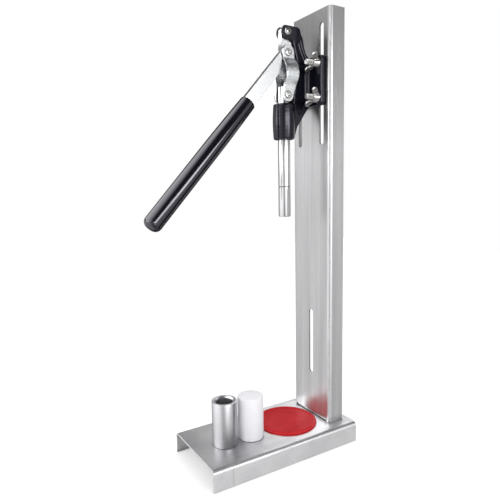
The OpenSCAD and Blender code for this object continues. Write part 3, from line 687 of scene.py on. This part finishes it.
# The washers are a little thinner than their place, so that they slide clear of the column
clamp_gap = 0.1
clamp_washer_y = washer_low.y + clamp_gap * MM
bolt_shapes = []
washer_shapes = []
for z in (washer_low.z + washer_r * MM, washer_high.z - washer_r * MM):
    for x in (washer_low.x + washer_r * MM, washer_high.x - washer_r * MM):
        bolt_shapes.append(set_in_place(hexagon(across_flats, bolt_head_h), (x, clamp_seat, z),
                                        (0, 1, 0)))
        bolt_shapes.append(set_in_place(turned(thread_profile(shank_r, 0, clamp_length), 40),
                                        (x, clamp_seat, z), (0, -1, 0)))
        washer_shapes.append(set_in_place(washer(washer_hole_r, washer_r, washer_t - clamp_gap),
                                          (x, clamp_washer_y, z), (0, 1, 0)))
piece(joined(bolt_shapes), "clamp_bolt_set", zinc_finish, "carriage", "zinc_plate", "clamp_bolts")
piece(joined(washer_shapes), "clamp_washer_set", zinc_finish, "carriage", "zinc_plate",
      "clamp_washers")


# Wing nuts
# Cast in zinc alloy and plated, with a tapered hub and two thick rounded wings. All four are
# alike, and each turns on its own bolt.
wing_finish = metal_finish(
    "cast_zinc", tone=(0.80, 0.78, 0.76), shade=(0.54, 0.52, 0.51), edge_tone=(0.90, 0.88, 0.86),
    gloss=0.18, dull=0.34, pitch=(420.0, 420.0, 420.0), relief=0.3, marks=190.0, reach=0.6)
for level in ("upper", "lower"):
    for side in ("right", "left"):
        nut = f"wing_nut_{level}_{side}"
        made = piece(copy_of(nut), f"{nut}_casting", wing_finish, nut, "zinc_plate", nut)
        cast_skin(made, voxel=0.4, passes=4)


# Top pivot
# A button-headed bolt with a hexagon socket joins the fork and the lever. Its nut sits on the far
# side of the fork.
def button_bolt(head_r, head_h, socket_r, socket_depth, shank_length):
    """Head from z = 0 up, shank below it."""
    dome = [(shank_r, 0), (head_r - 0.3, 0), (head_r, 0.35)]
    dome += [(head_r * math.cos(math.radians(a)), 0.5 + (head_h - 0.5) * math.sin(math.radians(a)))
             for a in range(8, 57, 8)]
    shape = turned(dome, 48)
    top = max(v.co.z for v in shape.verts)
    mouth = [v for v in shape.verts if v.co.z > top - 0.01 * MM]
    for vert in mouth:
        angle = math.atan2(vert.co.y, vert.co.x) % math.radians(60) - math.radians(30)
        reach = socket_r * MM * math.cos(math.radians(30)) / math.cos(angle)
        vert.co.x, vert.co.y = (Vector((vert.co.x, vert.co.y)).normalized() * reach)[:]
        vert.co.z = head_h * MM
    rim = [e for e in shape.edges if e.is_boundary and e.verts[0] in mouth]
    wall = bmesh.ops.extrude_edge_only(shape, edges=rim)["geom"]
    floor_verts = [v for v in wall if isinstance(v, bmesh.types.BMVert)]
    bmesh.ops.translate(shape, verts=floor_verts, vec=(0, 0, -socket_depth * MM))
    bmesh.ops.contextual_create(shape, geom=[e for e in wall if isinstance(e, bmesh.types.BMEdge)
                                             and all(v in floor_verts for v in e.verts)])
    shank_edge = [e for e in shape.edges if e.is_boundary]
    shank = bmesh.ops.extrude_edge_only(shape, edges=shank_edge)["geom"]
    tip = [v for v in shank if isinstance(v, bmesh.types.BMVert)]
    bmesh.ops.translate(shape, verts=tip, vec=(0, 0, -shank_length * MM))
    bmesh.ops.contextual_create(shape, geom=[e for e in shank if isinstance(e, bmesh.types.BMEdge)
                                             and all(v in tip for v in e.verts)])
    bmesh.ops.recalc_face_normals(shape, faces=shape.faces)
    return shape


pivot_low, pivot_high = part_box("top_pivot_bolt")
pivot = (pivot_low + pivot_high) / 2
fork_half = -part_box("top_pivot_nut")[1].x
pivot_head_h = pivot_nut_h = 3.2
pivot_shape = button_bolt(head_r=5.4, head_h=pivot_head_h, socket_r=2.3, socket_depth=1.8,
                          shank_length=(fork_half - pivot_low.x) / MM)
set_in_place(pivot_shape, (fork_half, pivot.y, pivot.z), (1, 0, 0))
piece(pivot_shape, "pivot_button_bolt", zinc_finish, "carriage", "zinc_plate", "top_pivot_bolt")
nut_shape = set_in_place(hexagon(across_flats, pivot_nut_h), (-fork_half, pivot.y, pivot.z),
                         (-1, 0, 0))
piece(nut_shape, "pivot_nut", zinc_finish, "carriage", "zinc_plate", "top_pivot_nut")


# Lever
# A strip of steel folded into a channel, bent below the fork and nickel plated. Its two folded
# edges are round, its cut edges are only broken.
# Its dark edge tone paints a dark outline along its folds and cut edges, as painted shade
nickel_finish = metal_finish(
    "bright_nickel", tone=(0.86, 0.87, 0.88), shade=(0.78, 0.79, 0.81),
    edge_tone=(0.40, 0.41, 0.43), gloss=0.25, dull=0.28, pitch=(260.0, 40.0, 40.0), relief=0.02,
    marks=45.0, reach=0.8, corner_shade_reach=3.0)
arm_angle = math.radians(48)
web_faces = (Vector((0, -1, 0)), Vector((0, -math.sin(arm_angle), math.cos(arm_angle))))


def on_fold(edge):
    """True where the web meets a flange on the outside of the channel."""
    normals = [face.normal for face in edge.link_faces]
    side = any(abs(n.x) > 0.9 for n in normals)
    web = any(n.dot(w) > 0.9 for n in normals for w in web_faces)
    middle = (edge.verts[0].co + edge.verts[1].co) / 2
    return side and web and abs(middle.x) > 3.5 * MM


fold_radius, broken_edge = 1.7 * MM, 0.25 * MM
lever_shape = copy_of("lever_channel")
round_edges(lever_shape, fold_radius, 4, chosen=on_fold)
round_edges(lever_shape, broken_edge, 2, sharper_than=50)
even_shading(piece(lever_shape, "lever_channel_folded", nickel_finish, "lever", "nickel_plate",
                   "lever_channel"))


# Grip
# A long sleeve of black vinyl, dipped over the lever's end. It is narrower at its open end, closed
# and round at the other, and shines like wet paint.
vinyl_finish = coated_finish(
    "black_vinyl", tone=(0.006, 0.006, 0.010), shade=(0.004, 0.004, 0.007),
    edge_tone=(0.012, 0.012, 0.017), rough=0.10, coat=0.3, peel=0.10, peel_scale=160.0, marks=25.0,
    sheen=0.85, tint=(0.93, 0.90, 1.0), coat_rough=0.18)
grip_start, grip_length = 113.5, 217.0
grip_r, grip_open_r, grip_taper, grip_round = 12.25, 11.0, 85.0, 9.0
lip_round, taper_steps = 1.4, 14
arm_offset = 20.1
arm_foot = Vector((0, pivot.y + arm_offset * math.sin(arm_angle) * MM,
                   pivot.z - arm_offset * math.cos(arm_angle) * MM))
arm_way = Vector((0, -math.cos(arm_angle), -math.sin(arm_angle)))
grip_profile = [(0, 0), (grip_open_r - lip_round - 0.2, 0)]
grip_profile += arc(grip_open_r - lip_round, lip_round, lip_round, -80, 0, 6)
for k in range(1, taper_steps + 1):
    rise = math.sin(math.radians(90 * k / taper_steps))
    grip_profile.append((grip_open_r + (grip_r - grip_open_r) * rise,
                         lip_round + (grip_taper - lip_round) * k / taper_steps))
grip_profile += arc(grip_r - grip_round, grip_length - grip_round, grip_round, 0, 88, 14)
grip_profile.append((0, grip_length))
grip_shape = turned(grip_profile, 96)
set_in_place(grip_shape, arm_foot + arm_way * grip_start * MM, arm_way)
piece(grip_shape, "grip_sleeve", vinyl_finish, "lever", "black_vinyl", "grip")


# Links
# Two stamped plates, nickel plated, that hang from the lever's bend and hold the plunger between
# their lower ears. Each is creased below its upper ear and bows out round the plunger.
# A little darker than the lever's nickel, as painted shade, with the same painted dark outline on
# its edges
link_finish = metal_finish(
    "shaded_nickel", tone=(0.82, 0.84, 0.86), shade=(0.72, 0.74, 0.76), edge_tone=(0.40, 0.41, 0.43),
    gloss=0.20, dull=0.30, pitch=(40.0, 40.0, 260.0), relief=0.05, marks=45.0, reach=0.8, corner_shade_reach=3.0)


def middle_of(node_name):
    low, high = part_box(node_name)
    return (low + high) / 2


mid = middle_of("middle_rivet")
low_pivot = middle_of("low_rivets")
link_length = (mid.z - low_pivot.z) / MM
link_shift = (low_pivot.y - mid.y) / MM
# Thickness, the inner faces of the upper and the lower ear, and the outer face of the bow
link_t, ear_in, low_in, bow_out = 2.5, 4.2, 8.7, 15.0
# Radius of each ear, half width at the waist and at the bow, and how far the bow stands back
top_r, low_r, waist, half_w, bow_back = 10.0, 9.0, 9.0, 10.2, 4.0
# Drops below the middle pivot: the crease, the bow's full width and its end
crease, bow_top, bow_low, bow_end = 8.0, 28.0, 31.0, 47.0


def link_edges(drop):
    """Front and rear edge of a link at a drop below the middle pivot."""
    share = min(max(drop / link_length, 0), 1)
    middle = link_shift * share + bow_back * math.sin(math.pi * share)
    half = waist + (half_w - waist) * math.sin(math.pi * share)
    front = rear = link_shift * share
    if 0 <= drop <= link_length:
        front, rear = middle - half, middle + half
    for centre, place, radius in ((0, 0, top_r), (link_length, link_shift, low_r)):
        if abs(drop - centre) < radius:
            reach = math.sqrt(radius ** 2 - (drop - centre) ** 2)
            front, rear = min(front, place - reach), max(rear, place + reach)
    return front, rear


def link_outside(drop):
    """How far a link's outer face stands from the middle plane."""
    top, low = ear_in + link_t, low_in + link_t
    if drop <= crease:
        return top
    if drop <= bow_top:
        return bow_out - (bow_out - top) * (1 - (drop - crease) / (bow_top - crease)) ** 2
    if drop <= bow_low:
        return bow_out
    if drop >= bow_end:
        return low
    turn = math.pi * (drop - bow_low) / (bow_end - bow_low)
    return low + (bow_out - low) * (1 + math.cos(turn)) / 2


def link_plate(side):
    shape = bmesh.new()
    bmesh.ops.create_grid(shape, x_segments=10, y_segments=96, size=1)
    span = link_length + top_r + low_r
    for vert in shape.verts:
        across, along = vert.co.x, vert.co.y
        drop = -top_r + span * (along + 1) / 2
        if drop < 0:
            drop = -top_r * math.sin(math.pi / 2 * min(-drop / top_r, 1))
        if drop > link_length:
            past = min((drop - link_length) / low_r, 1)
            drop = link_length + low_r * math.sin(math.pi / 2 * past)
        front, rear = link_edges(drop)
        vert.co = Vector((side * link_outside(drop) * MM,
                          mid.y + (front + (rear - front) * (across + 1) / 2) * MM,
                          mid.z - drop * MM))
    bmesh.ops.remove_doubles(shape, verts=shape.verts, dist=weld_gap)
    whole = bmesh.ops.extrude_face_region(shape, geom=shape.faces[:])["geom"]
    bmesh.ops.translate(shape, verts=[g for g in whole if isinstance(g, bmesh.types.BMVert)],
                        vec=(-side * link_t * MM, 0, 0))
    bmesh.ops.recalc_face_normals(shape, faces=shape.faces)
    round_edges(shape, 0.5 * MM, 3, sharper_than=60)
    return shape


piece(link_plate(1), "link_plate_right", link_finish, "links", "nickel_plate", "link_right")
piece(link_plate(-1), "link_plate_left", link_finish, "links", "nickel_plate", "link_left")


# Rivets
# Steel rivets with a low head and a dimple where the set pressed them. One runs through both links
# and the lever; two short ones join the links to the plunger's cross pin.
def rivet_end(seat, side):
    """A rivet head on a link, outwards from its seat, with the shank behind it."""
    profile = [(0, -2.4), (shank_r, -2.4), (shank_r, 0), (4.7, 0)]
    profile += arc(4.3, 0.8, 0.7, -40, 80, 6)
    profile += [(2.6, 1.55)] + arc(2.5, 1.15, 0.4, 90, 160, 3) + [(1.5, 0.75), (0, 0.6)]
    return set_in_place(turned(profile, 48), seat, (side, 0, 0))


rivet_shapes = [
    rivet_end((side * (ear_in + link_t) * MM, mid.y, mid.z), side) for side in (-1, 1)
]
shank_end = ear_in + 0.2
mid_shank = turned([(0, -shank_end), (shank_r, -shank_end), (shank_r, shank_end), (0, shank_end)],
                   48)
rivet_shapes.append(set_in_place(mid_shank, mid, (1, 0, 0)))
piece(joined(rivet_shapes), "middle_rivet_headed", zinc_finish, "links", "zinc_plate",
      "middle_rivet")
rivet_shapes = [
    rivet_end((side * (low_in + link_t) * MM, low_pivot.y, low_pivot.z), side) for side in (-1, 1)
]
piece(joined(rivet_shapes), "low_rivet_pair", zinc_finish, "links", "zinc_plate", "low_rivets")


# Plunger
# A round steel rod, ground and chromed, slides in the casting's sleeve. A shorter pressing head of
# the same size is screwed on below it by a stud, and both ends at the joint are chamfered.
chrome_finish = metal_finish(
    "polished_chrome", tone=(0.68, 0.68, 0.69), shade=(0.62, 0.62, 0.63),
    edge_tone=(0.72, 0.72, 0.73), gloss=0.05, dull=0.12, pitch=(60.0, 60.0, 2200.0), relief=0.12,
    marks=30.0, reach=0.3, rim=0.9)
rod_low, rod_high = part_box("plunger_rod")
rod_middle = (rod_low + rod_high) / 2
rod_r = (rod_high.x - rod_low.x) / 2 / MM
rod_length = (rod_high.z - rod_low.z) / MM
end_round, end_step, joint_chamfer = 1.0, 0.3, 0.7
socket_r, socket_depth = 5.1, 13.5
rod_shape = turned([(0, 0), (rod_r - joint_chamfer, 0), (rod_r, joint_chamfer),
                    (rod_r, rod_length - end_round), (rod_r - end_step, rod_length - end_step),
                    (rod_r - end_round, rod_length), (0, rod_length)], 96)
set_in_place(rod_shape, (rod_middle.x, rod_middle.y, rod_low.z))
piece(rod_shape, "plunger_rod_ground", chrome_finish, "plunger", "chromed_rod", "plunger_rod")
head_low, head_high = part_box("pressing_head")
head_length = (head_high.z - head_low.z) / MM
head_shape = turned([(0, 0), (rod_r - end_round, 0), (rod_r - end_step, end_step),
                     (rod_r, end_round), (rod_r, head_length - joint_chamfer),
                     (rod_r - joint_chamfer, head_length),
                     (socket_r, head_length), (socket_r, head_length - socket_depth),
                     (0, head_length - socket_depth)], 96)
set_in_place(head_shape, (rod_middle.x, rod_middle.y, head_low.z))
piece(head_shape, "pressing_head_ground", chrome_finish, "pressing_head", "chromed_rod",
      "pressing_head")
stud_low, stud_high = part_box("head_stud")
stud_length = (stud_high.z - stud_low.z) / MM
stud_r = 5.0
stud_shape = turned(thread_profile(stud_r, 0, stud_length, pitch=1.5, depth=0.7), 40)
set_in_place(stud_shape, (rod_middle.x, rod_middle.y, stud_high.z), (0, 0, -1))
piece(stud_shape, "threaded_stud", zinc_finish, "plunger", "zinc_plate", "head_stud")
pin_low, pin_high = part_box("cross_pin")
pin_length = (pin_high.x - pin_low.x) / MM
pin_chamfer = 0.4
pin_shape = turned([(0, 0), (shank_r - pin_chamfer, 0), (shank_r, pin_chamfer),
                    (shank_r, pin_length - pin_chamfer), (shank_r - pin_chamfer, pin_length),
                    (0, pin_length)], 48)
set_in_place(pin_shape, (pin_low.x, low_pivot.y, low_pivot.z), (1, 0, 0))
piece(pin_shape, "cross_pin_ground", zinc_finish, "plunger", "zinc_plate", "cross_pin")


# Loose heads
# Two heads that screw on in place of the pressing head stand on the base: one turned from steel
# with a bored and chamfered mouth, one turned from solid white plastic.
turned_finish = metal_finish(
    "turned_steel", tone=(0.66, 0.66, 0.68), shade=(0.52, 0.52, 0.54),
    edge_tone=(0.88, 0.88, 0.89), gloss=0.30, dull=0.40, pitch=(8.0, 8.0, 3500.0), relief=0.15,
    marks=30.0, reach=0.5, patchy=0.15, corner_shade_reach=0.8, rim=0.12)
steel_low, steel_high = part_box("steel_head")
steel_middle = (steel_low + steel_high) / 2
steel_r = (steel_high.x - steel_low.x) / 2 / MM
steel_h = (steel_high.z - steel_low.z) / MM
mouth_r, mouth_depth, mouth_chamfer = 11.7, 34.0, 2.2
outer_break, outer_step = 0.8, 0.2
socket_profile = [(0, socket_depth), (socket_r, socket_depth), (socket_r, 0)]
steel_shape = turned(
    socket_profile + [(steel_r - outer_break, 0), (steel_r - outer_step, outer_step),
                      (steel_r, outer_break), (steel_r, steel_h - outer_break),
                      (steel_r - outer_step, steel_h - outer_step),
                      (steel_r - outer_break, steel_h), (mouth_r + mouth_chamfer + 0.2, steel_h),
                      (mouth_r + mouth_chamfer - 0.2, steel_h - 0.25),
                      (mouth_r, steel_h - mouth_chamfer), (mouth_r, steel_h - mouth_depth),
                      (0, steel_h - mouth_depth)], 96)
set_in_place(steel_shape, (steel_middle.x, steel_middle.y, steel_low.z))
piece(steel_shape, "steel_head_turned", turned_finish, "steel_head", "turned_steel", "steel_head")

plastic_finish = coated_finish(
    "white_plastic", tone=(0.86, 0.86, 0.89), shade=(0.82, 0.82, 0.85),
    edge_tone=(0.88, 0.88, 0.90), rough=0.42, coat=0.05, peel=0.2, peel_scale=500.0, marks=60.0)
white_rounding = 1.5
white_low, white_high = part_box("white_head")
white_middle = (white_low + white_high) / 2
white_r = (white_high.x - white_low.x) / 2 / MM
white_h = (white_high.z - white_low.z) / MM
white_shape = turned(
    socket_profile
    + arc(white_r - white_rounding, white_rounding, white_rounding, -90, 0)
    + arc(white_r - white_rounding, white_h - white_rounding, white_rounding, 0, 90)
    + [(0, white_h)], 96)
set_in_place(white_shape, (white_middle.x, white_middle.y, white_low.z))
piece(white_shape, "white_head_turned", plastic_finish, "white_head", "white_plastic",
      "white_head")
